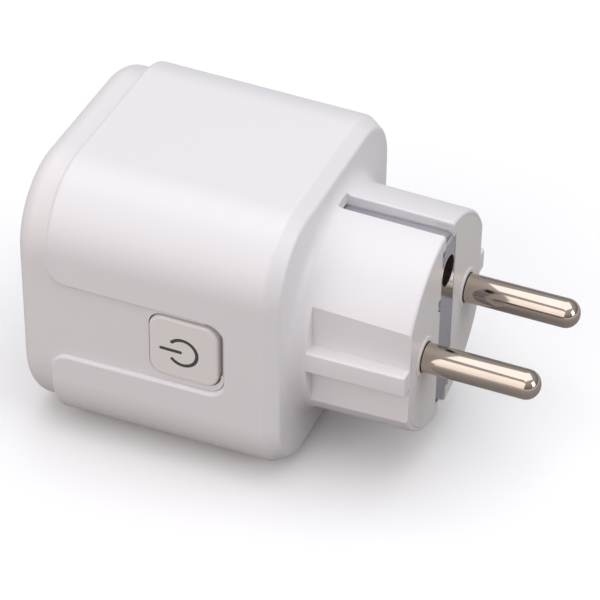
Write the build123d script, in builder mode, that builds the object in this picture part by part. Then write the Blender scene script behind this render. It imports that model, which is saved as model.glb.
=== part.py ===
"""Plug-in power meter: a smart plug adapter for CEE 7 sockets.

Frame: origin midway between the two pin axes on the plug's end face, +X out along the
pins, +Z up, -Y the side with the push button. Millimetres.
"""
from build123d import *
import os
from math import cos, radians, sin, sqrt

os.makedirs("parts", exist_ok=True)

# ---------------------------------------------------------------- driving dimensions
# plug
pin_pitch = 19.0
pin_d = 4.8
pin_len = 19.0
pin_shank_d = 4.3
pin_neck = 0.3
pin_relief = 0.18
bead_proud = 0.22
bead_w = 0.77
pin_tail_d = 2.0
boss_len = 18.8
boss_end_d = 36.1
boss_base_d = 36.8
boss_wall = 2.0
collar_r = 2.2
boss_edge_r = 0.3
flat_over = 31.66
flat_len = 16.2
key_rib_w = 3.76
earth_slot_w = 3.46
earth_slot_len = 17.8
earth_hole_z = 10.0
earth_hole_d = 5.2
pocket_w = 0.9
pocket_len = 2.6
pocket_z = 5.2

# housing
body_rear_w = 47.3
body_front_w = 48.3
body_len = 38.7
body_corner_r = 11.6
body_wall = 2.05
rear_wall = 2.0
bevel_len = 2.4
bevel_in = 1.55

# front cover
cover_len = 5.9
cover_step = 0.75
cover_wall = 1.8
cover_plate = 2.2
cover_round = 3.2
cover_corner_r = 13.2
spigot_len = 3.0
spigot_wall = 1.3
cup_d = 39.0
cup_depth = 17.5
cup_wall = 1.3
cup_floor = 2.0
socket_hole_d = 5.5
key_guide_over = 33.2

# tongue and button
tongue_w = 14.0
tongue_end_w = 13.4
tongue_end = 8.9
tongue_t = 1.2
tongue_root_r = 3.0
tongue_end_r = 2.9
lip_r = 0.6
button_w = 11.75
button_h = 11.5
button_z = 0.2
button_corner_r = 2.4
button_gap = 0.1
button_free_gap = 0.3
window_rim = 0.6
rim_sink = 0.6
button_edge_r = 0.5
button_travel = 0.3
button_t = 2.1
button_proud = 0.45
symbol_r = 2.44
symbol_line = 0.6
symbol_shift = (-0.12, -0.15)
symbol_deep = 0.15

# earth strips
strip_t = 0.8
arm_w = 3.0
face_strip_w = 5.6
clip_w = 5.2
clip_pinch = 17.2
rivet_d = 2.0
rivet_head_d = 3.6
rivet_head_t = 0.6

# shutter
shutter_travel = 6.2
shutter_block_h = 6.4
shutter_block_w = 6.6
shutter_deep = 4.3
shutter_wall = 1.2
spring_d = 3.0
spring_wire = 0.35
spring_turns = 7

# boards
board_t = 1.6
board_gap = 1.2
board_corner_r = 8.6
control_t = 1.2
control_len = 17.8
control_h = 18.0
switch_w = 6.0
switch_t = 3.5
plunger_d = 3.5
plunger_out = 0.75
lead_r = 0.35

# clearances
fit = 0.1
slip = 0.15
air = 0.5

# ---------------------------------------------------------------- stations along X
x_rear = -boss_len
x_bevel = x_rear - bevel_len
x_split = x_rear - body_len
x_front = x_split - cover_len
x_floor = x_front + cup_depth
x_floor_back = x_floor + cup_floor
x_wall_in = x_rear - rear_wall
x_board_rear = x_wall_in - board_gap
x_board = x_board_rear - board_t
x_tongue_end = x_wall_in - (tongue_end - rear_wall)
x_button = x_tongue_end - window_rim - button_free_gap - button_w / 2

draft = (body_front_w - body_rear_w) / 2 / body_len
cavity_half = body_rear_w / 2 - body_wall + 0.2
cavity_r = body_corner_r - body_wall
body_corner_at = body_rear_w / 2 - body_corner_r


def body_half(x):
    """Half width of the drafted housing at station x."""
    return body_rear_w / 2 + draft * (x_rear - x)


def on_skin(edge):
    """True for an edge of the open end or of the tongue slot on the housing's outer skin."""
    middle = edge @ 0.5
    reach = max(abs(middle.Y), abs(middle.Z))
    at_open_end = abs(middle.X - x_split) < 0.01 and square_reach(middle) > body_half(x_split) - 0.3
    on_side = middle.Y < 0 and abs(reach - body_half(middle.X)) < 0.02
    at_slot = abs(middle.Z) < tongue_w / 2 + tongue_root_r and middle.X < x_tongue_end + 0.1
    return at_open_end or (on_side and at_slot)


def on_boss(edge):
    """True for a long outer edge of a key rib or of an earth slot on the boss."""
    middle = edge @ 0.5
    at_skin = abs(sqrt(middle.Y ** 2 + middle.Z ** 2) - boss_end_d / 2) < 0.4
    at_rib = abs(abs(middle.Z) - key_rib_w / 2) < 0.01
    at_slot = abs(abs(middle.Y) - earth_slot_w / 2) < 0.01
    return edge.length > flat_len / 2 and at_skin and (at_rib or at_slot)


def square_reach(point):
    """Half width of the rounded square that passes through a point of a cross-section."""
    y, z = abs(point.Y), abs(point.Z)
    if min(y, z) < body_corner_at:
        return max(y, z)
    return body_corner_at + sqrt((y - body_corner_at) ** 2 + (z - body_corner_at) ** 2)


def cover_half(x):
    """Half width of the cover and its tongue, one step below the housing."""
    return body_half(x) - cover_step


def square_loft(x0, half0, x1, half1, corner_at):
    """Rounded square block between two stations; its corners turn about lines at corner_at."""
    sections = []
    for x, half in ((x0, half0), (x1, half1)):
        with BuildSketch(Plane.YZ.offset(x)) as section:
            RectangleRounded(2 * half, 2 * half, half - corner_at)
        sections.append(section.sketch)
    loft(sections, ruled=True)


def block(x0, x1, y0, y1, z0, z1, mode=Mode.ADD):
    """Box between two stations, given by its limits along X, Y and Z."""
    with BuildSketch(Plane.YZ.offset(x0)) as section:
        with Locations(((y0 + y1) / 2, (z0 + z1) / 2)):
            Rectangle(y1 - y0, z1 - z0)
    extrude(section.sketch, amount=x1 - x0, mode=mode)


def rods(x0, x1, points, radius, mode=Mode.ADD):
    """Round bars or holes along X at (y, z) points."""
    with BuildSketch(Plane.YZ.offset(x0)) as section:
        with Locations(*points):
            Circle(radius)
    extrude(section.sketch, amount=x1 - x0, mode=mode)


def save(piece, label):
    """Name the finished piece and write it out."""
    piece.part.label = label
    export_step(piece.part, f"parts/{label}.step")


pin_points = [(-pin_pitch / 2, 0), (pin_pitch / 2, 0)]

# ---------------------------------------------------------------- strip and slot levels
slot_floor_z = boss_end_d / 2 - 1.75
arm_z = slot_floor_z - strip_t / 2
clip_rim_z = cup_d / 2 + 0.2
arm_back_z = clip_rim_z + strip_t
face_strip_x = -0.05 - strip_t / 2
x_joggle = x_wall_in - 0.8
x_arm_end = x_joggle - 11.6
x_rivet = x_joggle - 7.9
insert_plate_t = 3.0
insert_step = 0.75
insert_deep = 17.0
insert_r = boss_end_d / 2 - insert_step
insert_flat = flat_over / 2 - insert_step
bore_r = boss_end_d / 2 - boss_wall
bore_flat = flat_over / 2 - 1.6
post_points = [(0, 0), (0, -12.5)]
post_r = 2.6
screw_d = 2.2
pin_tube_r = 3.6
receptacle_wall = 0.5
receptacle_r = earth_hole_d / 2 + receptacle_wall
receptacle_len = 14.0
pad_w = 3.0
pad_at = cavity_half - 5.2

# snap hooks of the cover, beside the cup in the four corners
hook_at = 9.5
hook_w = 5.0
hook_t = 1.4
hook_len = 7.0
hook_catch = 0.5
x_hook = x_split + spigot_len + hook_len

# ---------------------------------------------------------------- main housing
with BuildPart() as main_housing:
    square_loft(x_bevel, body_half(x_bevel), x_split, body_half(x_split), body_corner_at)
    square_loft(x_rear, body_half(x_bevel) - bevel_in, x_bevel, body_half(x_bevel), body_corner_at)
    bevel_edges = main_housing.edges().filter_by_position(Axis.X, x_bevel - 0.01, x_bevel + 0.01)
    fillet(bevel_edges, 1.2)
    rear_edges = main_housing.edges().filter_by_position(Axis.X, x_rear - 0.01, x_rear + 0.01)
    fillet(rear_edges, 0.7)
    for x, d in ((x_rear, boss_base_d), (0, boss_end_d)):
        with BuildSketch(Plane.YZ.offset(x)):
            Circle(d / 2)
    loft()
    collar = main_housing.edges().filter_by(GeomType.CIRCLE).filter_by_position(
        Axis.X, x_rear - 0.01, x_rear + 0.01).sort_by(SortBy.RADIUS)[-1]
    fillet(collar, collar_r)
    fillet(main_housing.edges().sort_by(Axis.X)[-1], 0.5)
    # hollow body
    with BuildSketch(Plane.YZ.offset(x_split)):
        RectangleRounded(2 * cavity_half, 2 * cavity_half, cavity_r)
    extrude(amount=body_len - rear_wall, mode=Mode.SUBTRACT)
    # bore of the boss, narrowed between the flats, and the seat of the end plate
    with BuildSketch(Plane.YZ.offset(x_wall_in)):
        Circle(bore_r)
        Rectangle(2 * bore_flat, 2 * bore_r, mode=Mode.INTERSECT)
    extrude(amount=-x_wall_in, mode=Mode.SUBTRACT)
    with BuildSketch(Plane.YZ.offset(-insert_plate_t)):
        Circle(insert_r + fit / 2)
        Rectangle(2 * insert_flat + fit, 2 * boss_end_d, mode=Mode.INTERSECT)
    extrude(amount=2 * insert_plate_t, mode=Mode.SUBTRACT)
    # side flats, one above and one below the key rib on each side
    for side in (-1, 1):
        for level in (-1, 1):
            edge = sorted((side * flat_over / 2, side * boss_base_d))
            span = sorted((level * key_rib_w / 2, level * boss_end_d / 2))
            block(-flat_len, 1, *edge, *span, mode=Mode.SUBTRACT)
    # earth slots, and the grooves that lead the strip's arms through the rear wall
    for level in (-1, 1):
        slot = sorted((level * (arm_z - strip_t), level * boss_base_d))
        block(-earth_slot_len, 1, -earth_slot_w / 2, earth_slot_w / 2, *slot, mode=Mode.SUBTRACT)
        groove = sorted((level * (arm_z - strip_t), level * (arm_z + strip_t / 2 + 0.3)))
        block(x_wall_in - 0.1, -earth_slot_len + 0.1, -earth_slot_w / 2, earth_slot_w / 2,
              *groove, mode=Mode.SUBTRACT)
    fillet(main_housing.edges().filter_by(on_boss), boss_edge_r)
    # slot for the cover's tongue
    with BuildSketch(Plane.XZ.offset(cavity_half - 1)):
        with BuildLine():
            Polyline((x_split, tongue_w / 2), (x_tongue_end, tongue_end_w / 2),
                     (x_tongue_end, -tongue_end_w / 2), (x_split, -tongue_w / 2), close=True)
        make_face()
    extrude(amount=body_wall + 3, mode=Mode.SUBTRACT)
    wall_edges = main_housing.edges().filter_by(Axis.Y).filter_by_position(
        Axis.Y, -body_half(x_split), -cavity_half)
    root = wall_edges.filter_by_position(Axis.X, x_split - 0.01, x_split + 0.01)
    tip = wall_edges.filter_by_position(Axis.X, x_tongue_end - 0.01, x_tongue_end + 0.01)
    fillet(root.filter_by_position(Axis.Z, -tongue_w / 2 - 0.1, tongue_w / 2 + 0.1), tongue_root_r)
    fillet(tip, tongue_end_r)
    # softened outer edge of the open end and of the tongue slot
    fillet(main_housing.edges().filter_by(on_skin), lip_r)
    # pads that carry the main board
    for y in (-pad_at, pad_at):
        for z in (-pad_at, pad_at):
            block(x_wall_in, x_board_rear, y - pad_w / 2, y + pad_w / 2, z - pad_w / 2, z + pad_w / 2)
    # pockets that catch the cover's hooks
    for y in (-hook_at, hook_at):
        for level in (-1, 1):
            pocket = sorted((level * (cavity_half - 0.5), level * (cavity_half + hook_catch + fit)))
            block(x_hook - 2.6, x_hook + 0.3, y - hook_w / 2 - slip, y + hook_w / 2 + slip,
                  *pocket, mode=Mode.SUBTRACT)
save(main_housing, "main_housing")

# ---------------------------------------------------------------- front cover
spigot_half = cavity_half - fit
guide_z0 = key_rib_w / 2 + 0.6
guide_z1 = sqrt(max((boss_end_d / 2) ** 2 - (flat_over / 2) ** 2, 1)) - 2.6
clip_slot_w = clip_w + 0.6
hook_z = cavity_half - fit - hook_t / 2
window_shift = (button_free_gap - button_gap) / 2
with BuildPart() as tongue:
    with BuildSketch(Plane.XY.offset(-tongue_w / 2)):
        with BuildLine():
            Polyline((x_split - 2, -cover_half(x_split - 2)),
                     (x_tongue_end - slip, -cover_half(x_tongue_end)),
                     (x_tongue_end - slip, -cover_half(x_tongue_end) + tongue_t),
                     (x_split - 2, -cover_half(x_tongue_end) + tongue_t),
                     close=True)
        make_face()
    extrude(amount=tongue_w)
    # sides that narrow towards the end
    with BuildSketch(Plane.XZ.offset(cavity_half - 3)):
        with BuildLine():
            Polyline((x_split - 3, tongue_w / 2 - fit / 2), (x_split, tongue_w / 2 - fit / 2),
                     (x_tongue_end, tongue_end_w / 2 - fit / 2),
                     (x_tongue_end, -tongue_end_w / 2 + fit / 2),
                     (x_split, -tongue_w / 2 + fit / 2), (x_split - 3, -tongue_w / 2 + fit / 2),
                     close=True)
        make_face()
    extrude(amount=body_wall + 5, mode=Mode.INTERSECT)
with BuildPart() as front_cover:
    square_loft(x_front, cover_half(x_front), x_split, cover_half(x_split),
                cover_half(x_split) - cover_corner_r)
    front_edges = front_cover.edges().filter_by_position(Axis.X, x_front - 0.01, x_front + 0.01)
    fillet(front_edges, cover_round)
    # hollow behind the front plate
    with BuildSketch(Plane.YZ.offset(x_front + cover_plate)):
        RectangleRounded(2 * (cover_half(x_split) - cover_wall), 2 * (cover_half(x_split) - cover_wall),
                         cover_corner_r - cover_wall)
    extrude(amount=cover_len, mode=Mode.SUBTRACT)
    # spigot that centres the cover in the housing
    with BuildSketch(Plane.YZ.offset(x_front + cover_plate)):
        RectangleRounded(2 * spigot_half, 2 * spigot_half, cavity_r - fit)
        RectangleRounded(2 * (spigot_half - spigot_wall), 2 * (spigot_half - spigot_wall),
                         cavity_r - fit - spigot_wall, mode=Mode.SUBTRACT)
    extrude(amount=x_split - x_front - cover_plate + spigot_len)
    # socket cup
    rods(x_front + cover_plate / 2, x_floor_back, [(0, 0)], cup_d / 2 + cup_wall)
    rods(x_front - 1, x_floor, [(0, 0)], cup_d / 2, mode=Mode.SUBTRACT)
    mouth = front_cover.edges().filter_by(GeomType.CIRCLE).filter_by_position(
        Axis.X, x_front - 0.01, x_front + 0.01).sort_by(SortBy.RADIUS)[-1]
    chamfer(mouth, 0.3)
    # paired guides on both sides of the cup that run in the plug's side flats
    with BuildSketch(Plane.YZ.offset(x_floor)):
        for side in (-1, 1):
            for level in (-1, 1):
                with Locations((side * (key_guide_over / 2 + 2), level * (guide_z0 + guide_z1) / 2)):
                    Rectangle(4, guide_z1 - guide_z0)
        Circle(cup_d / 2 + cup_wall / 2, mode=Mode.INTERSECT)
    extrude(amount=-(cup_depth - 2))
    # pin holes with a lead-in
    rods(x_floor - 1, x_floor_back + 1, pin_points, socket_hole_d / 2, mode=Mode.SUBTRACT)
    # slots through which the earth clips reach into the cup
    for level in (-1, 1):
        slot = sorted((level * (clip_rim_z - strip_t - 0.2), level * (cup_d / 2 + cup_wall + 0.6)))
        block(x_front + cover_plate - 0.8, x_floor_back + 0.1, -clip_slot_w / 2, clip_slot_w / 2,
              *slot, mode=Mode.SUBTRACT)
    # tongue along the button side
    add(tongue.part)
    tongue_edges = front_cover.edges().filter_by(Axis.Y)
    fillet(tongue_edges.filter_by_position(Axis.X, x_tongue_end - slip - 0.01, x_tongue_end),
           tongue_end_r - slip / 2)
    root_corners = tongue_edges.filter_by_position(Axis.X, x_split - 0.01, x_split + 0.01)
    fillet(root_corners.sort_by(Axis.Y)[:2], tongue_root_r)
    # window for the button, wider on its two free sides, and its sunken end rim
    with BuildSketch(Plane.XZ.offset(cavity_half - 3)):
        with Locations((x_button + window_shift, button_z + window_shift)):
            RectangleRounded(button_w + button_gap + button_free_gap,
                             button_h + button_gap + button_free_gap, button_corner_r)
    extrude(amount=body_wall + 5, mode=Mode.SUBTRACT)
    block(x_button + button_w / 2 - button_corner_r, x_tongue_end,
          -body_half(x_tongue_end), -cover_half(x_tongue_end) + rim_sink,
          -button_h / 2 + button_z + button_corner_r, tongue_w / 2, mode=Mode.SUBTRACT)
    # snap hooks
    for y in (-hook_at, hook_at):
        for level in (-1, 1):
            arm = sorted((level * (hook_z - hook_t / 2), level * (hook_z + hook_t / 2)))
            block(x_split, x_hook, y - hook_w / 2, y + hook_w / 2, *arm)
            barb = sorted((level * hook_z, level * (cavity_half + hook_catch)))
            block(x_hook - 2.2, x_hook, y - hook_w / 2, y + hook_w / 2, *barb)
save(front_cover, "front_cover")

# ---------------------------------------------------------------- plug end plate with its tubes
pin_hole_r = pin_shank_d / 2
pin_relief_r = pin_d / 2 + pin_relief
with BuildPart() as plug_insert:
    with BuildSketch(Plane.YZ.offset(-insert_plate_t)):
        Circle(insert_r)
        Rectangle(2 * insert_flat, 2 * insert_r, mode=Mode.INTERSECT)
    extrude(amount=insert_plate_t)
    rods(-insert_deep, -insert_plate_t, pin_points, pin_tube_r)
    rods(-insert_deep, -insert_plate_t, [(0, earth_hole_z)], receptacle_r + 1.3)
    rods(x_board_rear, -insert_plate_t, post_points, post_r)
    # webs between the tubes
    block(-insert_deep, -insert_plate_t, -pin_pitch / 2, pin_pitch / 2, -0.8, 0.8)
    block(-insert_deep, -insert_plate_t, -0.8, 0.8, post_points[1][1], earth_hole_z)
    # bead round each pin
    rods(-0.5, bead_proud, pin_points, pin_relief_r + bead_w)
    fillet(plug_insert.edges().sort_by(Axis.X)[-2:], 0.2)
    # holes: pin shanks, the relief round each pin, the receptacle, the screw pilots
    rods(-insert_deep - 1, 1, pin_points, pin_hole_r, mode=Mode.SUBTRACT)
    rods(-1.2, 1, pin_points, pin_relief_r, mode=Mode.SUBTRACT)
    rods(-insert_deep + 1, 1, [(0, earth_hole_z)], receptacle_r, mode=Mode.SUBTRACT)
    rods(x_board_rear, x_board_rear + 8, post_points, screw_d / 2, mode=Mode.SUBTRACT)
    # channel of the earth strip across the face, and the notches where its arms turn back
    block(-strip_t - 0.05, 1, -face_strip_w / 2 - slip, face_strip_w / 2 + slip,
          -arm_z + 0.6, arm_z - 0.6, mode=Mode.SUBTRACT)
    # pocket beside the channel for the tool that springs the strip in
    block(-strip_t - 0.05, 1, -face_strip_w / 2 - slip - pocket_w, 0,
          pocket_z - pocket_len / 2, pocket_z + pocket_len / 2, mode=Mode.SUBTRACT)
    for level in (-1, 1):
        notch = sorted((level * (arm_z - strip_t - 0.3), level * boss_end_d))
        block(-insert_plate_t - 1, 1, -earth_slot_w / 2, earth_slot_w / 2, *notch, mode=Mode.SUBTRACT)
save(plug_insert, "plug_insert")

# ---------------------------------------------------------------- plug pins
pin_profile_r = pin_d / 2
for label, (y, z) in zip(("plug_pin_near", "plug_pin_far"), pin_points):
    with BuildPart() as plug_pin:
        rods(pin_neck, pin_len, [(y, z)], pin_profile_r)
        fillet(plug_pin.edges().sort_by(Axis.X)[-1], pin_profile_r - 0.1)
        rods(x_wall_in, pin_neck, [(y, z)], pin_hole_r)
        rods(x_board - 0.8, x_wall_in, [(y, z)], pin_tail_d / 2)
    save(plug_pin, label)

# ---------------------------------------------------------------- earth bow of the plug
shoulder_z = arm_z - 2.5
with BuildPart() as earth_bow:
    with BuildSketch(Plane.XZ.offset(-clip_w / 2 - 1)):
        with BuildLine() as bow_path:
            FilletPolyline((x_arm_end, -arm_back_z), (x_joggle - 3.6, -arm_back_z), (x_joggle, -arm_z),
                           (face_strip_x, -arm_z), (face_strip_x, arm_z), (x_joggle, arm_z),
                           (x_joggle - 3.6, arm_back_z), (x_arm_end, arm_back_z), radius=0.9)
        trace(line_width=strip_t)
    extrude(amount=clip_w + 2)
    # narrow arms between the face and the joggle, face strip and rear arms at their own widths
    with BuildSketch(Plane.YZ.offset(x_joggle - 0.5)):
        for side in (-1, 1):
            for level in (-1, 1):
                with BuildLine():
                    Polyline((side * arm_w / 2, level * (arm_z - 0.6)),
                             (side * face_strip_w / 2, level * shoulder_z),
                             (side * clip_w, level * shoulder_z),
                             (side * clip_w, level * boss_end_d / 2 + level * 3),
                             (side * arm_w / 2, level * boss_end_d / 2 + level * 3), close=True)
                make_face()
    extrude(amount=-x_joggle + 1.5, mode=Mode.SUBTRACT)
    block(-strip_t - 1, 1, face_strip_w / 2, clip_w, -boss_end_d / 2, boss_end_d / 2, mode=Mode.SUBTRACT)
    block(-strip_t - 1, 1, -clip_w, -face_strip_w / 2, -boss_end_d / 2, boss_end_d / 2,
          mode=Mode.SUBTRACT)
    for side in (-1, 1):
        edge = sorted((side * clip_w / 2, side * clip_w))
        block(x_arm_end - 1, x_joggle - 0.4, *edge, -boss_end_d, boss_end_d, mode=Mode.SUBTRACT)
    rods(-2, 1, [(0, earth_hole_z)], earth_hole_d / 2, mode=Mode.SUBTRACT)
    with BuildSketch(Plane.XY.offset(-boss_end_d)):
        with Locations((x_rivet, 0)):
            Circle(rivet_d / 2)
    extrude(amount=2 * boss_end_d, mode=Mode.SUBTRACT)
save(earth_bow, "earth_bow")

with BuildPart() as earth_receptacle:
    with BuildSketch(Plane.YZ.offset(-strip_t - 0.05 - receptacle_len)):
        with Locations((0, earth_hole_z)):
            Circle(receptacle_r)
            Circle(earth_hole_d / 2, mode=Mode.SUBTRACT)
    extrude(amount=receptacle_len)
save(earth_receptacle, "earth_receptacle")

# ---------------------------------------------------------------- socket earth clips and rivets
x_clip_tip = x_front + cover_plate - 0.4
x_pinch = (x_front + x_floor) / 2 + 1
for label, level in (("earth_clip_top", 1), ("earth_clip_bottom", -1)):
    with BuildPart() as earth_clip:
        with BuildSketch(Plane.XZ.offset(-clip_w / 2)):
            with BuildLine() as clip_path:
                FilletPolyline((x_rivet + 3, level * clip_rim_z), (x_floor - 1, level * clip_rim_z),
                               (x_pinch, level * (clip_pinch + strip_t / 2)),
                               (x_clip_tip + 1.5, level * clip_rim_z),
                               (x_clip_tip, level * clip_rim_z), radius=1)
            trace(line_width=strip_t)
        extrude(amount=clip_w)
        with BuildSketch(Plane.XY.offset(-boss_end_d)):
            with Locations((x_rivet, 0)):
                Circle(rivet_d / 2)
        extrude(amount=2 * boss_end_d, mode=Mode.SUBTRACT)
    save(earth_clip, label)

with BuildPart() as earth_rivets:
    for level in (-1, 1):
        stack = ((clip_rim_z - strip_t / 2 - rivet_head_t, rivet_head_t, rivet_head_d),
                 (clip_rim_z - strip_t / 2, 2 * strip_t, rivet_d),
                 (clip_rim_z + 3 * strip_t / 2, rivet_head_t, rivet_head_d))
        for z, height, d in stack:
            with BuildSketch(Plane.XY.offset(level * z)):
                with Locations((x_rivet, 0)):
                    Circle(d / 2)
            extrude(amount=level * height)
save(earth_rivets, "earth_rivets")

# ---------------------------------------------------------------- button and its symbol
button_face_y = -cover_half(x_button) - button_proud
button_lip = 0.9
x_symbol = x_button + symbol_shift[0]
z_symbol = symbol_shift[1]
symbol_open = 137
button_back_y = button_face_y + button_proud + button_t
lip_y = -cover_half(x_tongue_end) + tongue_t + 0.1
plunger_tip_y = button_back_y + 0.85
with BuildPart() as button_cap:
    with BuildSketch(Plane.XZ.offset(-button_back_y)):
        with Locations((x_button, button_z)):
            RectangleRounded(button_w, button_h, button_corner_r)
    extrude(amount=button_t + button_proud)
    fillet(button_cap.faces().sort_by(Axis.Y)[0].edges(), button_edge_r)
    # lip that keeps the cap behind the window, and the stem on the switch
    with BuildSketch(Plane.XZ.offset(-button_back_y)):
        with Locations((x_button + window_shift, button_z + window_shift)):
            RectangleRounded(button_w + button_lip, button_h + button_lip, button_corner_r)
    extrude(amount=button_back_y - lip_y)
    with BuildSketch(Plane.XZ.offset(-plunger_tip_y + 0.02)):
        with Locations((x_button, 0)):
            Circle(plunger_d / 2 + 0.5)
    extrude(amount=plunger_tip_y - 0.02 - button_back_y)
    # shallow print recess of the symbol
    with BuildSketch(Plane.XZ.offset(-button_face_y - symbol_deep)) as symbol:
        with BuildLine():
            ring = CenterArc((x_symbol, z_symbol), symbol_r, -symbol_open, 2 * symbol_open)
        trace(line_width=symbol_line)
        with BuildLine():
            bar = Line((x_symbol - 1.5 * symbol_r, z_symbol), (x_symbol - 0.15 * symbol_r, z_symbol))
        trace(line_width=symbol_line)
        with Locations(ring @ 0, ring @ 1, bar @ 0, bar @ 1):
            Circle(symbol_line / 2)
    extrude(amount=2 * symbol_deep, mode=Mode.SUBTRACT)
save(button_cap, "button_cap")

with BuildPart() as power_symbol:
    with BuildSketch(Plane.XZ.offset(-button_face_y - symbol_deep)):
        add(symbol.sketch_local)
    extrude(amount=symbol_deep)
save(power_symbol, "power_symbol")

# ---------------------------------------------------------------- switch under the button
switch_top_y = plunger_tip_y + plunger_out
control_y = switch_top_y + switch_t
with BuildPart() as switch_body:
    with BuildSketch(Plane.XZ.offset(-control_y)):
        with Locations((x_button, 0)):
            Rectangle(switch_w, switch_w)
    extrude(amount=switch_t)
    with BuildSketch(Plane.XZ.offset(-switch_top_y - 1.2)):
        with Locations((x_button, 0)):
            Circle(plunger_d / 2 + 0.05)
    extrude(amount=2, mode=Mode.SUBTRACT)
save(switch_body, "switch_body")

with BuildPart() as switch_plunger:
    with BuildSketch(Plane.XZ.offset(-plunger_tip_y - plunger_out - 0.7)):
        with Locations((x_button, 0)):
            Circle(plunger_d / 2)
    extrude(amount=plunger_out + 0.7)
save(switch_plunger, "switch_plunger")

# ---------------------------------------------------------------- shutter behind the cup floor
carrier_t = 1.2
carrier_back_t = 0.8
carrier_half = pin_pitch / 2 + shutter_block_w / 2 + 0.35 + carrier_t
x_carrier_back = x_floor_back + shutter_deep + 0.5 + carrier_back_t
slider_top = shutter_block_h / 2
lug_bottom = -slider_top - 1.8
spring_seat = lug_bottom - shutter_travel - spring_turns * spring_wire - 1.4
carrier_top = slider_top + slip + carrier_t
carrier_bottom = spring_seat - carrier_t
slider_half = pin_pitch / 2 + shutter_block_w / 2
x_slider_front = x_floor_back + 0.3
x_slider_back = x_slider_front + shutter_deep
x_spring = (x_slider_front + x_slider_back) / 2
with BuildPart() as shutter_carrier:
    block(x_floor_back, x_carrier_back, -carrier_half, carrier_half, carrier_bottom, carrier_top)
    fillet(shutter_carrier.edges().filter_by(Axis.X), 1.0)
    block(x_floor_back - 1, x_carrier_back - carrier_back_t, -carrier_half + carrier_t,
          carrier_half - carrier_t, spring_seat, slider_top + slip, mode=Mode.SUBTRACT)
    rods(x_floor_back, x_carrier_back + 1, pin_points, socket_hole_d / 2 + 0.25, mode=Mode.SUBTRACT)
    with BuildSketch(Plane.XY.offset(spring_seat)):
        with Locations((x_spring, 0)):
            Circle(spring_d / 2 - spring_wire - 0.15)
    extrude(amount=1.2)
save(shutter_carrier, "shutter_carrier")

with BuildPart() as shutter_slider:
    block(x_slider_back - 1.3, x_slider_back, -slider_half, slider_half, -slider_top, slider_top)
    for y, z in pin_points:
        with BuildSketch(Plane.XZ.offset(-y - shutter_block_w / 2)):
            with BuildLine():
                Polyline((x_slider_back, -slider_top), (x_slider_front, -slider_top),
                         (x_slider_front, -slider_top / 2), (x_slider_back - 0.3, slider_top),
                         (x_slider_back, slider_top), close=True)
            make_face()
        extrude(amount=shutter_block_w)
    block(x_slider_front + 0.4, x_slider_back, -2.2, 2.2, lug_bottom, -slider_top + 1)
save(shutter_slider, "shutter_slider")

spring_free = lug_bottom - spring_seat - 2 * 0.05
with BuildPart() as shutter_spring:
    with BuildLine() as coil:
        Helix(pitch=(spring_free - spring_wire) / spring_turns, height=spring_free - spring_wire,
              radius=(spring_d - spring_wire) / 2,
              center=(x_spring, 0, spring_seat + 0.05 + spring_wire / 2))
    with BuildSketch(Plane(origin=coil.line @ 0, z_dir=coil.line % 0)):
        Circle(spring_wire / 2)
    sweep()
save(shutter_spring, "shutter_spring")

# ---------------------------------------------------------------- boards
board_half = cavity_half - 1.2
control_x0 = x_board - 0.6 - control_len
control_back_y = control_y + control_t
module_y = carrier_half + air
module_t = 0.8
module_len = 16.9
module_h = 16.0

# places of the parts on the main board's front face, as (y, z)
relay_at = (0, 11.4)
relay_size = (15.3, 18.4, 10.2)
film_at = (12.2, 10.6)
film_size = (11.0, 4.8, 12.6)
bulk_points = [(-8.5, -12.3), (8.5, -12.3)]
bulk_d = 8.0
bulk_len = 12.0
output_at = (15.7, -12.4)
output_d = 5.0
output_len = 11.0
choke_at = (-15.7, -12.6)
choke_d = 5.4
choke_len = 7.0
varistor_at = (-12.4, 9.0)
varistor_d = 8.6
varistor_t = 3.0
fuse_at = (5.2, -18.3)
fuse_d = 3.0
fuse_len = 8.0
shunt_at = (-7.5, -18.3)
shunt_size = (4.0, 7.0, 1.4)
shunt_t = 0.6

# places of the chips on its rear face, and their plan sizes
metering_at = (-6.0, -8.0)
supply_at = (6.0, -8.0)
rectifier_at = (-9.0, 8.0)
chip_size = (1.5, 4.9, 3.9)
chip_leg_span = 6.0
rectifier_size = (1.3, 4.0, 4.7)

contact_gap = 4.4
contact_t = 0.8
contact_w = 5.5
contact_leaf = contact_gap / 2 + contact_t / 2
contact_z = contact_leaf
tab_w = 2.0
header_half = 7.6
header_t = 2.5
header_pins = 6


def pair(at, spread, across=False):
    """Two lead positions either side of a part's centre, along Z or along Y."""
    y, z = at
    if across:
        return [(y - spread, z), (y + spread, z)]
    return [(y, z - spread), (y, z + spread)]


relay_leads = [(relay_at[0] + dy, relay_at[1] + dz) for dy in (-5.5, 5.5) for dz in (-3.5, 3.5)]
film_leads = pair(film_at, 5)
bulk_leads = pair(bulk_points[0], 1.75) + pair(bulk_points[1], 1.75)
output_leads = pair(output_at, 1.0)
choke_leads = pair(choke_at, 1.5)
varistor_leads = pair(varistor_at, 2.5)
fuse_leads = pair(fuse_at, 0.9, across=True)
shunt_leads = pair(shunt_at, shunt_size[1] / 2 - 0.7, across=True)
header_y = control_y - header_t / 2
header_leads = [(header_y, header_half * (2 * i / (header_pins - 1) - 1) * 0.85)
                for i in range(header_pins)]
module_leads = [(module_y + module_t / 2, z) for z in (-6, -3.6, -1.2, 1.2, 3.6, 6)]
all_leads = (relay_leads + film_leads + bulk_leads + output_leads + choke_leads + varistor_leads
             + fuse_leads + header_leads + module_leads)

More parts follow.
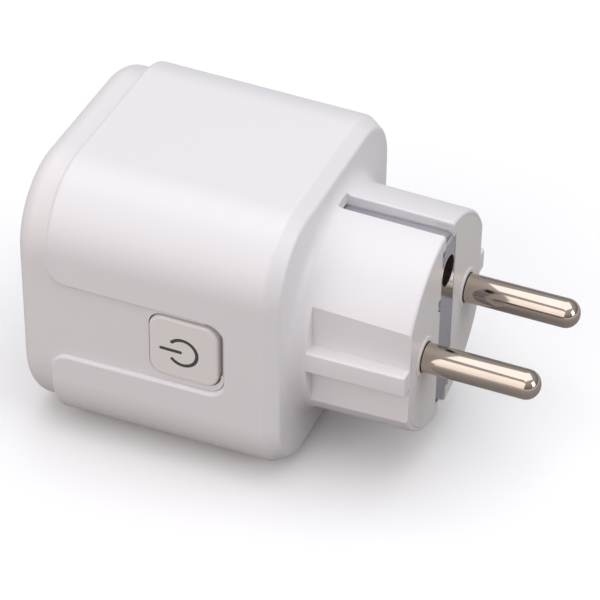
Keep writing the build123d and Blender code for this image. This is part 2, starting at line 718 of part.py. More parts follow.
with BuildPart() as main_board:
    with BuildSketch(Plane.YZ.offset(x_board)):
        RectangleRounded(2 * board_half, 2 * board_half, board_corner_r)
    extrude(amount=board_t)
    for level in (-1, 1):
        notch = sorted((level * (arm_z - 0.9), level * (board_half + 1)))
        block(x_board - 1, x_board_rear + 1, -clip_w / 2 - 0.4, clip_w / 2 + 0.4, *notch,
              mode=Mode.SUBTRACT)
    rods(x_board - 1, x_board_rear + 1, all_leads, lead_r, mode=Mode.SUBTRACT)
    for y, z in shunt_leads:
        block(x_board - 1, x_board_rear + 1, y - shunt_t / 2, y + shunt_t / 2,
              z - shunt_size[2] / 2, z + shunt_size[2] / 2, mode=Mode.SUBTRACT)
    rods(x_board - 1, x_board_rear + 1, pin_points, pin_tail_d / 2, mode=Mode.SUBTRACT)
    rods(x_board - 1, x_board_rear + 1, post_points, screw_d / 2 + 0.2, mode=Mode.SUBTRACT)
    for y, z in pin_points:
        block(x_board - 1, x_board_rear + 1, y - tab_w / 2, y + tab_w / 2,
              contact_z - contact_t / 2, contact_z + contact_t / 2, mode=Mode.SUBTRACT)
save(main_board, "main_board")

with BuildPart() as board_screws:
    rods(x_board, x_board_rear + 6.5, post_points, screw_d / 2)
    rods(x_board - 1.4, x_board, post_points, 2.1)
    fillet(board_screws.edges().sort_by(Axis.X)[:2], 0.5)
    for y, z in post_points:
        block(x_board - 2, x_board - 0.7, y - 1.4, y + 1.4, z - 0.25, z + 0.25, mode=Mode.SUBTRACT)
        block(x_board - 2, x_board - 0.7, y - 0.25, y + 0.25, z - 1.4, z + 1.4, mode=Mode.SUBTRACT)
save(board_screws, "board_screws")


def leads(points, x_from):
    """Straight leads from a part down through the main board."""
    rods(x_from, x_board_rear + 0.6, points, lead_r)


def box_part(size, at):
    """Body of a boxed part that stands on the main board's front face."""
    deep, wide, tall = size
    y, z = at
    block(x_board - deep, x_board, y - wide / 2, y + wide / 2, z - tall / 2, z + tall / 2)


def can_part(points, d, length):
    """Round part that stands on the main board's front face."""
    rods(x_board - length, x_board, points, d / 2)


with BuildPart() as relay:
    box_part(relay_size, relay_at)
    fillet(relay.edges().filter_by(Axis.X), 0.5)
    leads(relay_leads, x_board - 0.5)
save(relay, "relay")

with BuildPart() as film_capacitor:
    box_part(film_size, film_at)
    fillet(film_capacitor.edges().filter_by(Axis.X), 0.4)
    leads(film_leads, x_board - 0.5)
save(film_capacitor, "film_capacitor")

with BuildPart() as bulk_capacitors:
    can_part(bulk_points, bulk_d, bulk_len)
    fillet(bulk_capacitors.edges(), 0.5)
    leads(bulk_leads, x_board - 0.5)
save(bulk_capacitors, "bulk_capacitors")

with BuildPart() as output_capacitor:
    can_part([output_at], output_d, output_len)
    fillet(output_capacitor.edges(), 0.4)
    leads(output_leads, x_board - 0.5)
save(output_capacitor, "output_capacitor")

with BuildPart() as choke:
    can_part([choke_at], choke_d, choke_len)
    with BuildSketch(Plane.YZ.offset(x_board - choke_len + 1)):
        with Locations(choke_at):
            Circle(choke_d / 2)
            Circle(choke_d / 2 - 0.5, mode=Mode.SUBTRACT)
    extrude(amount=choke_len - 2, mode=Mode.SUBTRACT)
    leads(choke_leads, x_board - 0.5)
save(choke, "choke")

with BuildPart() as varistor:
    with BuildSketch(Plane.XZ.offset(-varistor_at[0] - varistor_t / 2)):
        with Locations((x_board - varistor_d / 2 - 1, varistor_at[1])):
            Circle(varistor_d / 2)
    extrude(amount=varistor_t)
    fillet(varistor.edges(), 0.8)
    leads(varistor_leads, x_board - 2.5)
save(varistor, "varistor")

with BuildPart() as fusible_resistor:
    rods(x_board - fuse_len, x_board, [fuse_at], fuse_d / 2)
    fillet(fusible_resistor.edges(), 0.6)
    leads(fuse_leads, x_board - 0.8)
save(fusible_resistor, "fusible_resistor")

with BuildPart() as current_shunt:
    deep, wide, tall = shunt_size
    with BuildSketch(Plane.XY.offset(shunt_at[1] - tall / 2)):
        with BuildLine():
            FilletPolyline((x_board_rear + 0.6, shunt_leads[0][0]), (x_board - deep, shunt_leads[0][0]),
                           (x_board - deep, shunt_leads[1][0]), (x_board_rear + 0.6, shunt_leads[1][0]),
                           radius=1)
        trace(line_width=shunt_t)
    extrude(amount=tall)
save(current_shunt, "current_shunt")


def small_outline_chip(at):
    """Eight-leg chip on the main board's rear face."""
    tall, wide, across = chip_size
    y, z = at
    block(x_board_rear + 0.1, x_board_rear + tall, y - wide / 2, y + wide / 2,
          z - across / 2, z + across / 2)
    for leg in range(4):
        leg_y = y + (leg - 1.5) * 1.27
        block(x_board_rear, x_board_rear + 0.35, leg_y - 0.2, leg_y + 0.2,
              z - chip_leg_span / 2, z + chip_leg_span / 2)


for label, at in (("metering_chip", metering_at), ("supply_chip", supply_at)):
    with BuildPart() as chip:
        small_outline_chip(at)
    save(chip, label)

with BuildPart() as bridge_rectifier:
    tall, wide, across = rectifier_size
    y, z = rectifier_at
    block(x_board_rear + 0.1, x_board_rear + tall, y - wide / 2, y + wide / 2,
          z - across / 2, z + across / 2)
    for leg_z in (z - 1.3, z + 1.3):
        block(x_board_rear, x_board_rear + 0.35, y - wide / 2 - 0.9, y + wide / 2 + 0.9,
              leg_z - 0.35, leg_z + 0.35)
save(bridge_rectifier, "bridge_rectifier")

# ---------------------------------------------------------------- socket contacts
x_contact_mouth = x_carrier_back + 0.2
x_contact_base = x_floor + pin_len + 0.8
contact_flare = contact_leaf + 0.55
for label, (y, z) in zip(("contact_near", "contact_far"), pin_points):
    with BuildPart() as contact:
        with BuildSketch(Plane.XZ.offset(-y - contact_w / 2)):
            with BuildLine():
                FilletPolyline((x_contact_mouth, contact_flare),
                               (x_contact_mouth + 2.5, contact_leaf),
                               (x_contact_base, contact_leaf), (x_contact_base, -contact_leaf),
                               (x_contact_mouth + 2.5, -contact_leaf),
                               (x_contact_mouth, -contact_flare), radius=0.5)
            trace(line_width=contact_t)
        extrude(amount=contact_w)
        block(x_contact_base, x_board_rear + 0.6, y - tab_w / 2, y + tab_w / 2,
              contact_z - contact_t / 2, contact_z + contact_t / 2)
    save(contact, label)

# ---------------------------------------------------------------- control board and radio
with BuildPart() as control_board:
    block(control_x0, control_x0 + control_len, control_y, control_back_y,
          -control_h / 2, control_h / 2)
    fillet(control_board.edges().filter_by(Axis.Y), 0.6)
save(control_board, "control_board")

with BuildPart() as board_header:
    block(x_board - header_t, x_board, header_y - header_t / 2, control_y,
          -header_half, header_half)
    leads(header_leads, x_board - 1)
save(board_header, "board_header")

with BuildPart() as status_light:
    with BuildSketch(Plane.XZ.offset(-control_y)):
        with Locations((x_button + 5.0, 0)):
            Rectangle(2.8, 3.5)
    extrude(amount=1.0)
    with BuildSketch(Plane.XZ.offset(-control_y + 1.0)):
        with Locations((x_button + 5.0, 0)):
            Circle(1.2)
    extrude(amount=0.9)
    fillet(status_light.faces().sort_by(Axis.Y)[0].edges(), 0.6)
save(status_light, "status_light")

with BuildPart() as radio_module:
    block(x_board - module_len, x_board, module_y, module_y + module_t,
          -module_h / 2, module_h / 2)
    leads(module_leads, x_board - 1)
save(radio_module, "radio_module")

with BuildPart() as radio_shield:
    block(x_board - 12.5, x_board - 2.5, module_y + module_t, module_y + module_t + 2.2, -6.2, 6.2)
    fillet(radio_shield.faces().sort_by(Axis.Y)[-1].edges(), 0.4)
save(radio_shield, "radio_shield")
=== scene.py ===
"""Plug-in power meter: a white plug-through adapter with one push button, its visual model.

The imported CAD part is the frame. Everything is in metres: +X out along the plug's pins, +Z up,
-Y the side with the button.
"""

import math

import bmesh
import bpy
from mathutils import Euler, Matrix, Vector


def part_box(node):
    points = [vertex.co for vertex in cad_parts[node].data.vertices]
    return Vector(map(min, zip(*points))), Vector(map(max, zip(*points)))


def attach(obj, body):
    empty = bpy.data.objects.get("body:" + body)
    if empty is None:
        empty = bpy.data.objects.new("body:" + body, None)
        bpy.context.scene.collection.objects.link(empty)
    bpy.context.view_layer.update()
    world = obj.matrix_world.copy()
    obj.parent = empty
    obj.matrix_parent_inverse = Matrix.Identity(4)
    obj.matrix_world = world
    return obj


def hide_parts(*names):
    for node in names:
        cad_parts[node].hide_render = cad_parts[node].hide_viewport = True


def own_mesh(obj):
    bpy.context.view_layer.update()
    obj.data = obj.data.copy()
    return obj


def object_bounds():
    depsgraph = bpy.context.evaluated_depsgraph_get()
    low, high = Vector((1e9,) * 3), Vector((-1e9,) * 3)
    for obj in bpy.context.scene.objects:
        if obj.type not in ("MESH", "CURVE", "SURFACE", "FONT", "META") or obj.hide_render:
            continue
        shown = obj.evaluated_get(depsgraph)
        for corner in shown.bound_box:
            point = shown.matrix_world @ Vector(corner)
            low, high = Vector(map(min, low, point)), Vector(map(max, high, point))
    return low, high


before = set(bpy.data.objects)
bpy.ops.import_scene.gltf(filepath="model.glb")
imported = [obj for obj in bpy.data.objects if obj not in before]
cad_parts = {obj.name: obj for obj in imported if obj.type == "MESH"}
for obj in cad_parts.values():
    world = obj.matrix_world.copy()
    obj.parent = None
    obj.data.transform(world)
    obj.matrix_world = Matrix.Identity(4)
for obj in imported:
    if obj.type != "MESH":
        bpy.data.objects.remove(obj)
cad_low, cad_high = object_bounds()
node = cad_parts
MM = 0.001

# ---------------------------------------------------------------- main housing
# The square body with the plug boss behind it, one injection moulding in flame-retardant
# polycarbonate. The mould is polished to a satin, so edges and the boss pick up soft highlights.


def linear(colour):
    """Linear RGBA of an sRGB hex colour."""
    parts = [int(colour[i:i + 2], 16) / 255 for i in (0, 2, 4)]
    return (*[p / 12.92 if p <= 0.04045 else ((p + 0.055) / 1.055) ** 2.4 for p in parts], 1.0)


def put(tree, kind, inputs=None, **settings):
    """Adds a node with its settings. An input is a value, or a link given as (node, output)."""
    made = tree.nodes.new(kind)
    for key, value in settings.items():
        setattr(made, key, value)
    for key, value in (inputs or {}).items():
        if isinstance(value, tuple) and isinstance(value[0], bpy.types.Node):
            tree.links.new(value[0].outputs[value[1]], made.inputs[key])
        else:
            made.inputs[key].default_value = value
    return made


def per_mm(size):
    """Texture scale, in cycles per metre, for a feature of that size in millimetres."""
    return 1 / (size * MM)


MIX_FACTOR, MIX_A, MIX_B, MIX_RESULT = 0, 6, 7, 2       # colour sockets of the Mix node
FLOW_SIZE = 16                                          # mm, width of the flow mottle in a moulding
FLOW_GLOSS = 0.06                                       # share by which its gloss wanders


def surface(name, shader_inputs):
    """New material with one Principled shader; returns the material, its tree and the shader."""
    material = bpy.data.materials.new(name)
    material.use_nodes = True
    tree = material.node_tree
    tree.nodes.clear()
    shader = put(tree, "ShaderNodeBsdfPrincipled", shader_inputs)
    put(tree, "ShaderNodeOutputMaterial", {"Surface": (shader, "BSDF")})
    return material, tree, shader


def moulded(name, colour, shade, roughness, grain, depth, ior=1.5):
    """Plastic as it leaves the mould: a faint flow mottle, uneven gloss and a fine grain. grain and
    depth are the grain's size and height in millimetres."""
    material, tree, shader = surface(name, {"IOR": ior})
    place = put(tree, "ShaderNodeTexCoord")
    flow = put(tree, "ShaderNodeTexNoise", {
        "Vector": (place, "Object"), "Scale": per_mm(FLOW_SIZE), "Detail": 1.0, "Roughness": 0.4})
    tint = put(tree, "ShaderNodeMix", {
        MIX_FACTOR: (flow, "Fac"), MIX_A: linear(colour), MIX_B: linear(shade)}, data_type="RGBA")
    gloss = put(tree, "ShaderNodeMapRange", {
        "Value": (flow, "Fac"),
        "To Min": roughness * (1 - FLOW_GLOSS), "To Max": roughness * (1 + FLOW_GLOSS)})
    texture = put(tree, "ShaderNodeTexNoise", {
        "Vector": (place, "Object"), "Scale": per_mm(grain), "Detail": 2.0})
    bump = put(tree, "ShaderNodeBump", {
        "Height": (texture, "Fac"), "Strength": 1.0, "Distance": depth * MM})
    tree.links.new(tint.outputs[MIX_RESULT], shader.inputs["Base Color"])
    tree.links.new(gloss.outputs["Result"], shader.inputs["Roughness"])
    tree.links.new(bump.outputs["Normal"], shader.inputs["Normal"])
    return material


def paint(name, material):
    """Gives a CAD node its material."""
    node[name].data.materials.clear()
    node[name].data.materials.append(material)


# satin white polycarbonate: a cool white whose highlights are spread by the mould's grain, which
# is about 0.1 mm and drawn at 0.3 mm, since it is too fine to show
housing_white = moulded("polycarbonate_satin_moulded", "E4E1E3", "E2DFE1", 0.40, 0.3, 0.0016, 1.585)
paint("main_housing", housing_white)

# ---------------------------------------------------------------- front cover
# Front plate, socket cup and the long tongue beside the button, moulded in one piece from the
# same polycarbonate in a mould of its own and held by four snap hooks.

# satin white polycarbonate: a touch warmer and duller than the housing, with the same grain
cover_white = moulded("polycarbonate_satin_cover", "E4E0E1", "E2DEDE", 0.42, 0.3, 0.0016, 1.585)
paint("front_cover", cover_white)

# ---------------------------------------------------------------- plug end plate
# Round plate with two flats that carries the pins, white glass-filled polyamide, pressed into
# the boss; a raised bead stands round each pin.

# white polyamide: a touch greyer and warmer than the polycarbonate round it
insert_white = moulded("polyamide_moulded", "E1DDDC", "DEDAD8", 0.38, 0.25, 0.002, 1.53)
paint("plug_insert", insert_white)

# ---------------------------------------------------------------- plug pins
# Two bars turned from brass with a domed tip, nickel plated and barrel polished, each held in a
# tube of the end plate. One bar is made here and copied across the pitch.
DRIFT_SIZE = 5                                          # mm, width of a plating's colour drift
POLISH_SPREAD = 0.3                                     # share by which its polish wanders


def plated(name, colour, shade, roughness, marks, depth, along=(1.0, 0.04, 0.04)):
    """Metal with a slow colour drift, uneven polish and hairline marks. marks and depth are the
    hairs' spacing and height in millimetres; along scales them on each axis, and they run where it
    is small."""
    material, tree, shader = surface(name, {"Metallic": 1.0})
    place = put(tree, "ShaderNodeTexCoord")
    drift = put(tree, "ShaderNodeTexNoise", {
        "Vector": (place, "Object"), "Scale": per_mm(DRIFT_SIZE), "Detail": 3.0})
    tint = put(tree, "ShaderNodeMix", {
        MIX_FACTOR: (drift, "Fac"), MIX_A: linear(colour), MIX_B: linear(shade)}, data_type="RGBA")
    gloss = put(tree, "ShaderNodeMapRange", {
        "Value": (drift, "Fac"),
        "To Min": roughness * (1 - POLISH_SPREAD), "To Max": roughness * (1 + POLISH_SPREAD)})
    stretch = put(tree, "ShaderNodeMapping", {"Vector": (place, "Object"), "Scale": along})
    hairs = put(tree, "ShaderNodeTexNoise", {
        "Vector": (stretch, "Vector"), "Scale": per_mm(marks), "Detail": 4.0})
    bump = put(tree, "ShaderNodeBump", {
        "Height": (hairs, "Fac"), "Strength": 1.0, "Distance": depth * MM})
    tree.links.new(tint.outputs[MIX_RESULT], shader.inputs["Base Color"])
    tree.links.new(gloss.outputs["Result"], shader.inputs["Roughness"])
    tree.links.new(bump.outputs["Normal"], shader.inputs["Normal"])
    return material


def turned(name, profile, centre, sides=64):
    """Mesh turned about a line along X through centre; profile is a list of (x, radius), closed at
    both ends by a pole."""
    mesh = bpy.data.meshes.new(name)
    form = bmesh.new()
    rings = []
    for x, radius in profile:
        if radius == 0:
            rings.append([form.verts.new((x, centre[0], centre[1]))])
            continue
        turn = [2 * math.pi * i / sides for i in range(sides)]
        rings.append([form.verts.new((x, centre[0] + radius * math.cos(a),
                                      centre[1] + radius * math.sin(a))) for a in turn])
    for one, two in zip(rings, rings[1:]):
        for i in range(sides):
            face = [one[i % len(one)], one[(i + 1) % len(one)],
                    two[(i + 1) % len(two)], two[i % len(two)]]
            form.faces.new(list(dict.fromkeys(face)))
    for face in form.faces:
        face.smooth = True
    bmesh.ops.recalc_face_normals(form, faces=form.faces)
    form.to_mesh(mesh)
    form.free()
    piece = bpy.data.objects.new(name, mesh)
    bpy.context.scene.collection.objects.link(piece)
    return piece


def rounded(x, radius, corner, outward, steps):
    """Profile points of a rounded end, from the full radius at x - outward * corner to the end
    at x."""
    turn = [math.pi / 2 * i / steps for i in range(steps + 1)]
    return [(x - outward * corner * (1 - math.sin(a)), radius - corner * (1 - math.cos(a)))
            for a in turn]


def grow(piece, tree_name, inputs, wire):
    """Runs a Geometry Nodes tree on a piece and keeps the result as its plain mesh. inputs are the
    tree's named sizes; wire adds the tree's own nodes and returns its last geometry output."""
    tree = bpy.data.node_groups.new(tree_name, "GeometryNodeTree")
    tree.interface.new_socket("Geometry", in_out="INPUT", socket_type="NodeSocketGeometry")
    tree.interface.new_socket("Geometry", in_out="OUTPUT", socket_type="NodeSocketGeometry")
    sockets = {}
    for label, (kind, value) in inputs.items():
        sockets[label] = tree.interface.new_socket(label, in_out="INPUT", socket_type=kind)
    source = tree.nodes.new("NodeGroupInput")
    last = wire(tree, source)
    real = put(tree, "GeometryNodeRealizeInstances", {"Geometry": last})
    finish = put(tree, "GeometryNodeSetMaterial", {
        "Geometry": (real, "Geometry"), "Material": (source, "Material")})
    put(tree, "NodeGroupOutput", {0: (finish, "Geometry")})
    modifier = piece.modifiers.new(tree_name, "NODES")
    modifier.node_group = tree
    for label, (_, value) in inputs.items():
        modifier[sockets[label].identifier] = value
    grown = bpy.data.meshes.new_from_object(
        piece.evaluated_get(bpy.context.evaluated_depsgraph_get()))
    piece.modifiers.clear()
    piece.data = grown
    return piece


def copies_in_line(tree, source):
    """Copies of the piece along a line of Count steps of Step."""
    line = put(tree, "GeometryNodeMeshLine", {
        "Count": (source, "Count"), "Offset": (source, "Step")})
    placed = put(tree, "GeometryNodeInstanceOnPoints", {
        "Points": (line, "Mesh"), "Instance": (source, "Geometry")})
    return (placed, "Instances")


# polished nickel on brass: a warm grey mirror; turning marks 0.03 mm apart, drawn at 0.12 mm so
# that they show
nickel = plated("nickel_plated_brass_turned", "CABEB2", "BBAFA3", 0.10, 0.12, 0.0004)

near_low, near_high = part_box("plug_pin_near")
far_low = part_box("plug_pin_far")[0]
pin_radius = (near_high.y - near_low.y) / 2
pin_y, pin_z = (near_low.y + near_high.y) / 2, (near_low.z + near_high.z) / 2
pin_step = far_low.y - near_low.y
SHANK_RADIUS, TAIL_RADIUS = 2.15 * MM, 1.0 * MM
NECK_AT, SHANK_FROM = 0.3 * MM, -20.8 * MM
NECK_ROUND, TAIL_ROUND = 0.12 * MM, 0.3 * MM
TIP_FLAT_RADIUS = 0.1 * MM
SMALL_STEPS, DOME_STEPS = 4, 20
pin_profile = (
    [(near_low.x, 0.0)]
    + rounded(near_low.x, TAIL_RADIUS, TAIL_ROUND, -1, SMALL_STEPS)[::-1]
    + [(SHANK_FROM, TAIL_RADIUS), (SHANK_FROM, SHANK_RADIUS), (NECK_AT, SHANK_RADIUS)]
    + rounded(NECK_AT, pin_radius, NECK_ROUND, -1, SMALL_STEPS)[::-1]
    + rounded(near_high.x, pin_radius, pin_radius - TIP_FLAT_RADIUS, 1, DOME_STEPS)
    + [(near_high.x, 0.0)])
pins = turned("plug_pins", pin_profile, (pin_y, pin_z))
grow(pins, "pins_in_line", {
    "Count": ("NodeSocketInt", 2), "Step": ("NodeSocketVector", (0.0, pin_step, 0.0)),
    "Material": ("NodeSocketMaterial", nickel)}, copies_in_line)
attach(pins, "body")
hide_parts("plug_pin_near", "plug_pin_far")

# ---------------------------------------------------------------- earth strip and its sleeve
# One bent strip of nickel-plated spring bronze: across the end face, back through both slots and
# inside to the socket, where two clips are riveted on. A drawn sleeve behind its hole takes a
# socket's earth pin.

# bright nickel on rolled bronze: a cool grey, half-sharp mirror with marks along the rolling
strip_nickel = plated("nickel_plated_bronze_rolled", "D6D6DE", "CACAD2", 0.20, 0.1, 0.0005,
                      along=(0.05, 1.0, 0.05))
for name in ("earth_bow", "earth_clip_top", "earth_clip_bottom"):
    paint(name, strip_nickel)
# brass, upset cold: a yellow metal, a little rough
brass = plated("brass_upset", "D8BE7F", "C6A964", 0.28, 0.1, 0.0006)
paint("earth_rivets", brass)
# drawn bronze with thin, dulled tin: brownish inside the bore
tinned_bronze = plated("tinned_bronze_drawn", "A58F78", "8E7A65", 0.34, 0.2, 0.001)
paint("earth_receptacle", tinned_bronze)

# ---------------------------------------------------------------- push button
# Square cap that slides in its window onto the switch, moulded in ABS, with the standby sign pad
# printed in a shallow recess.

# satin white ABS: a touch warmer and glossier than the housing, with a finer grain
button_white = moulded("abs_satin_moulded", "E5E1DF", "E2DEDB", 0.34, 0.25, 0.002, 1.53)
# pad printing ink: dark grey and dull
symbol_grey = moulded("pad_print_ink", "4A4747", "403D3D", 0.55, 0.1, 0.002)
paint("button_cap", button_white)
paint("power_symbol", symbol_grey)

# ---------------------------------------------------------------- switch
# Tactile switch under the cap, soldered to the control board: a square body and a round plunger,
# both moulded in nylon. The plunger goes in with the cap.

# black nylon: near black with a soft sheen
nylon_black = moulded("nylon_black_moulded", "161617", "1D1D1E", 0.42, 0.2, 0.004, 1.53)
paint("switch_body", nylon_black)
paint("switch_plunger", nylon_black)

# ---------------------------------------------------------------- shutter
# Child-safety shutter behind the cup floor: a moulded slider in a moulded carrier, pushed up by a
# small compression spring that closes up as the slider comes down.

# unfilled acetal: creamy white and slick
acetal = moulded("acetal_moulded", "E2E0D8", "DCD9D0", 0.30, 0.3, 0.002, 1.48)
# natural nylon: off-white and waxy
nylon_natural = moulded("nylon_natural_moulded", "DEDBD0", "D6D2C6", 0.36, 0.3, 0.003, 1.53)
# drawn spring wire: bright grey with marks along the wire
spring_steel = plated("spring_wire_drawn", "B9B9B8", "A6A6A6", 0.25, 0.1, 0.0006)
paint("shutter_slider", acetal)
paint("shutter_carrier", nylon_natural)

spring_low, spring_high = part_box("shutter_spring")
WIRE = 0.35 * MM
COILS = 7.0
COIL_STEPS, WIRE_SIDES = 40, 12


def wound_wire(tree, source):
    """Round wire wound on a cylinder that stands at Foot."""
    path = put(tree, "GeometryNodeCurveSpiral", {
        "Resolution": COIL_STEPS, "Rotations": (source, "Coils"), "Height": (source, "Height"),
        "Start Radius": (source, "Radius"), "End Radius": (source, "Radius")})
    section = put(tree, "GeometryNodeCurvePrimitiveCircle", {
        "Resolution": WIRE_SIDES, "Radius": (source, "Wire Radius")})
    wire = put(tree, "GeometryNodeCurveToMesh", {
        "Curve": (path, "Curve"), "Profile Curve": (section, "Curve"), "Fill Caps": True})
    placed = put(tree, "GeometryNodeTransform", {
        "Geometry": (wire, "Mesh"), "Translation": (source, "Foot")})
    return (placed, "Geometry")


spring = bpy.data.objects.new("shutter_coil", bpy.data.meshes.new("shutter_coil"))
bpy.context.scene.collection.objects.link(spring)
spring_centre = (spring_low + spring_high) / 2
grow(spring, "coil_winding", {
    "Coils": ("NodeSocketFloat", COILS),
    "Radius": ("NodeSocketFloat", (spring_high.y - spring_low.y - WIRE) / 2),
    "Height": ("NodeSocketFloat", spring_high.z - spring_low.z - WIRE),
    "Wire Radius": ("NodeSocketFloat", WIRE / 2),
    "Foot": ("NodeSocketVector", (spring_centre.x, spring_centre.y, spring_low.z + WIRE / 2)),
    "Material": ("NodeSocketMaterial", spring_steel)}, wound_wire)
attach(spring, "body")
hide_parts("shutter_spring")
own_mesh(spring)

# ---------------------------------------------------------------- circuit boards
# The main board is glass-epoxy laminate, screwed to the end plate's posts. The control board and
# the radio module stand square to it, and their pins are soldered through it.
TRACK_WIDTH = 0.09                                      # share of the pattern's unit
TRACK_HEIGHT = 0.03                                     # mm


def laminate(name, mask, copper, unit):
    """Solder mask over copper, whose tracks show as the joints of a brick pattern. unit is that
    pattern's unit in millimetres, four courses high."""
    material, tree, shader = surface(name, {"IOR": 1.5, "Roughness": 0.28})
    place = put(tree, "ShaderNodeTexCoord")
    tracks = put(tree, "ShaderNodeTexBrick", {
        "Vector": (place, "Object"), "Scale": per_mm(unit), "Mortar Size": TRACK_WIDTH,
        "Color1": linear(mask), "Color2": linear(mask), "Mortar": linear(copper)})
    bump = put(tree, "ShaderNodeBump", {
        "Height": (tracks, "Fac"), "Strength": 1.0, "Distance": TRACK_HEIGHT * MM})
    tree.links.new(tracks.outputs["Color"], shader.inputs["Base Color"])
    tree.links.new(bump.outputs["Normal"], shader.inputs["Normal"])
    return material


# solder mask: half glossy green or blue lacquer, lighter over the copper
green_board = laminate("glass_epoxy_green_mask", "0F4A27", "1D6A37", 3.2)
blue_board = laminate("glass_epoxy_blue_mask", "0C2340", "173A63", 2.4)
paint("main_board", green_board)
paint("control_board", green_board)
paint("radio_module", blue_board)

# ---------------------------------------------------------------- board parts
# Bought-in parts soldered to the boards, each in its usual case, with the two board screws and
# the two sprung contacts that grip a plug's pins, whose tabs go through the main board.

# zinc plated steel and drawn tinplate: light grey, half bright
steel = plated("steel_zinc_plated", "C9CACC", "B7B8BB", 0.30, 0.1, 0.0008)
tin = plated("tinplate_drawn", "C9C8C2", "BDBCB6", 0.27, 0.15, 0.0008)
paint("board_screws", steel)
paint("radio_shield", tin)
# moulded polyester cases: black or yellow, satin
relay_black = moulded("polyester_black_moulded", "151516", "1B1B1C", 0.45, 0.25, 0.005, 1.55)
case_yellow = moulded("polyester_yellow_moulded", "C9A92A", "BC9C22", 0.40, 0.3, 0.004)
paint("relay", relay_black)
paint("film_capacitor", case_yellow)
# shrunk vinyl sleeve: glossy blue-black with a slow ripple
sleeve = moulded("pvc_sleeve_shrunk", "14151A", "1A1B21", 0.25, 0.6, 0.004)
paint("bulk_capacitors", sleeve)
paint("output_capacitor", sleeve)
# sintered ferrite: charcoal grey, matt and gritty
ferrite = moulded("ferrite_sintered", "2A2726", "34302F", 0.62, 0.12, 0.01)
# dipped epoxy: half glossy blue with the waves of a dipped coat
epoxy_blue = moulded("epoxy_blue_dipped", "1F4C96", "1A4285", 0.30, 1.4, 0.03)
# dipped cement: chalky green, uneven
cement_green = moulded("cement_green_dipped", "6E8F80", "62826F", 0.55, 0.5, 0.02)
# rolled manganin: a brownish grey metal
manganin = plated("manganin_rolled", "A89A8A", "9A8C7C", 0.32, 0.1, 0.0008)
paint("choke", ferrite)
paint("varistor", epoxy_blue)
paint("fusible_resistor", cement_green)
paint("current_shunt", manganin)
# transfer moulded epoxy: black and matt
epoxy_black = moulded("epoxy_black_transfer_moulded", "1A1A1A", "222222", 0.5, 0.15, 0.006)
for name in ("metering_chip", "supply_chip", "bridge_rectifier"):
    paint(name, epoxy_black)
paint("board_header", nylon_black)
# cast epoxy: milky and glossy
epoxy_milky = moulded("epoxy_milky_cast", "ECEBDD", "E4E2D2", 0.2, 1.0, 0.002)
paint("status_light", epoxy_milky)
# rolled phosphor bronze: warm and half bright
bronze = plated("phosphor_bronze_rolled", "D2A877", "C49A68", 0.26, 0.1, 0.0006)
for name in ("contact_near", "contact_far"):
    paint(name, bronze)

# ---------------------------------------------------------------- studio
# Pale paper under the adapter, three soft boxes, above, in front and beside the pins, and a dim
# dome of light. None of it is part of the object.

# matt paper: white to the eye, grey in the light it throws back, and graded from grey to white in
# what the metal mirrors, where the grey close round the adapter is its painted shadow
FLOOR_HALF = 6.0
SHADE_FROM, SHADE_TO = 0.04, 0.35       # the mirrored floor goes from grey to white, metres out
floor_mesh = bpy.data.meshes.new("floor")
corners = [(-FLOOR_HALF, -FLOOR_HALF), (FLOOR_HALF, -FLOOR_HALF),
           (FLOOR_HALF, FLOOR_HALF), (-FLOOR_HALF, FLOOR_HALF)]
floor_mesh.from_pydata([(x, y, cad_low.z) for x, y in corners], [], [(0, 1, 2, 3)])
floor = bpy.data.objects.new("floor", floor_mesh)
bpy.context.scene.collection.objects.link(floor)
floor_paper = bpy.data.materials.new("paper_sweep_matt")
floor_paper.use_nodes = True
sweep = floor_paper.node_tree
sweep.nodes.clear()
white_paper = put(sweep, "ShaderNodeBsdfDiffuse", {"Color": linear("FDFDFD")})
ray = put(sweep, "ShaderNodeLightPath")
place = put(sweep, "ShaderNodeTexCoord")
reach = put(sweep, "ShaderNodeVectorMath", {0: (place, "Object")}, operation="LENGTH")
away = put(sweep, "ShaderNodeMapRange", {
    "Value": (reach, "Value"), "From Min": SHADE_FROM, "From Max": SHADE_TO})
# painted shadow: in what the metal mirrors, the floor is grey close round the adapter and white
# further out
mirrored_painted_shadow = put(sweep, "ShaderNodeMix", {
    MIX_FACTOR: (away, "Result"), MIX_A: linear("9C9A9A"), MIX_B: linear("F2EEEA")},
    data_type="RGBA")
card = put(sweep, "ShaderNodeMix", {
    MIX_FACTOR: (ray, "Is Glossy Ray"), MIX_A: linear("A4A09E"), MIX_B: (mirrored_painted_shadow, MIX_RESULT)},
    data_type="RGBA")
grey_card = put(sweep, "ShaderNodeBsdfDiffuse", {"Color": (card, MIX_RESULT)})
paper = put(sweep, "ShaderNodeMixShader", {
    0: (ray, "Is Camera Ray"), 1: (grey_card, "BSDF"), 2: (white_paper, "BSDF")})
put(sweep, "ShaderNodeOutputMaterial", {"Surface": (paper, "Shader")})
floor_mesh.materials.append(floor_paper)


def soft_box(name, place, aim, size, watts, colour):
    """Square soft box at a place, turned to an aim point."""
    data = bpy.data.lights.new(name, "AREA")
    data.shape = "RECTANGLE"
    data.size, data.size_y = size
    data.energy = watts
    data.color = linear(colour)[:3]
    box = bpy.data.objects.new(name, data)
    box.location = place
    box.rotation_euler = (Vector(aim) - Vector(place)).to_track_quat("-Z", "Y").to_euler()
    bpy.context.scene.collection.objects.link(box)


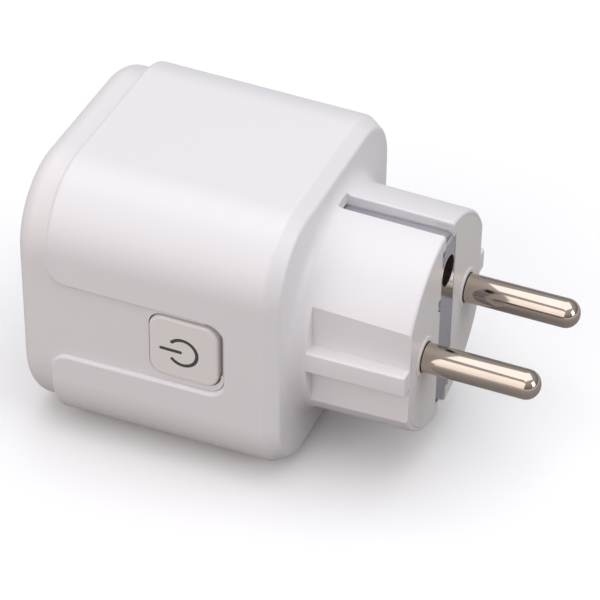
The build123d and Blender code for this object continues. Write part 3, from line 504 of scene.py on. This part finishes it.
middle = (cad_low + cad_high) / 2
soft_box("overhead", place=(0.02, 0.05, 0.60), aim=middle, size=(0.70, 0.74), watts=2.35,
         colour="FAFAFF")
soft_box("front_fill", place=(-0.35, -0.70, 0.35), aim=middle, size=(1.0, 0.75), watts=3.2,
         colour="FFF8F5")
soft_box("pin_side", place=(0.75, -0.10, 0.30), aim=middle, size=(0.35, 0.45), watts=1.45,
         colour="FFFFFF")

DOME_FULL_AT = 0.7                                      # height on the dome where it is full white
DOME_STRENGTH = 0.60
world = bpy.data.worlds.new("studio")
bpy.context.scene.world = world
world.use_nodes = True
air = world.node_tree
air.nodes.clear()
sky = put(air, "ShaderNodeTexCoord")
direction = put(air, "ShaderNodeSeparateXYZ", {"Vector": (sky, "Generated")})
rise = put(air, "ShaderNodeMapRange", {
    "Value": (direction, "Z"), "From Min": 0.0, "From Max": DOME_FULL_AT})
dome = put(air, "ShaderNodeMix", {
    MIX_FACTOR: (rise, "Result"), MIX_A: linear("989494"), MIX_B: linear("F4F5F8")},
    data_type="RGBA")
glow = put(air, "ShaderNodeBackground", {"Color": (dome, MIX_RESULT), "Strength": DOME_STRENGTH})
behind = put(air, "ShaderNodeBackground", {"Color": linear("FFFFFF"), "Strength": 1.0})
path = put(air, "ShaderNodeLightPath")
seen = put(air, "ShaderNodeMixShader", {
    0: (path, "Is Camera Ray"), 1: (glow, "Background"), 2: (behind, "Background")})
put(air, "ShaderNodeOutputWorld", {"Surface": (seen, "Shader")})
bpy.context.scene.view_settings.view_transform = "Standard"

# camera: long lens, high on the button side and towards the pins
CAMERA_PLACE = (0.11283, -0.33760, 0.28535)
CAMERA_TURN = (51.593, -0.692, 22.715)
LENS = 174.26
CLIP = (0.01, 50)
camera_data = bpy.data.cameras.new("camera")
camera_data.lens = LENS
camera_data.clip_start, camera_data.clip_end = CLIP
camera = bpy.data.objects.new("camera", camera_data)
camera.location = CAMERA_PLACE
camera.rotation_euler = Euler([math.radians(a) for a in CAMERA_TURN])
bpy.context.scene.collection.objects.link(camera)
bpy.context.scene.camera = camera
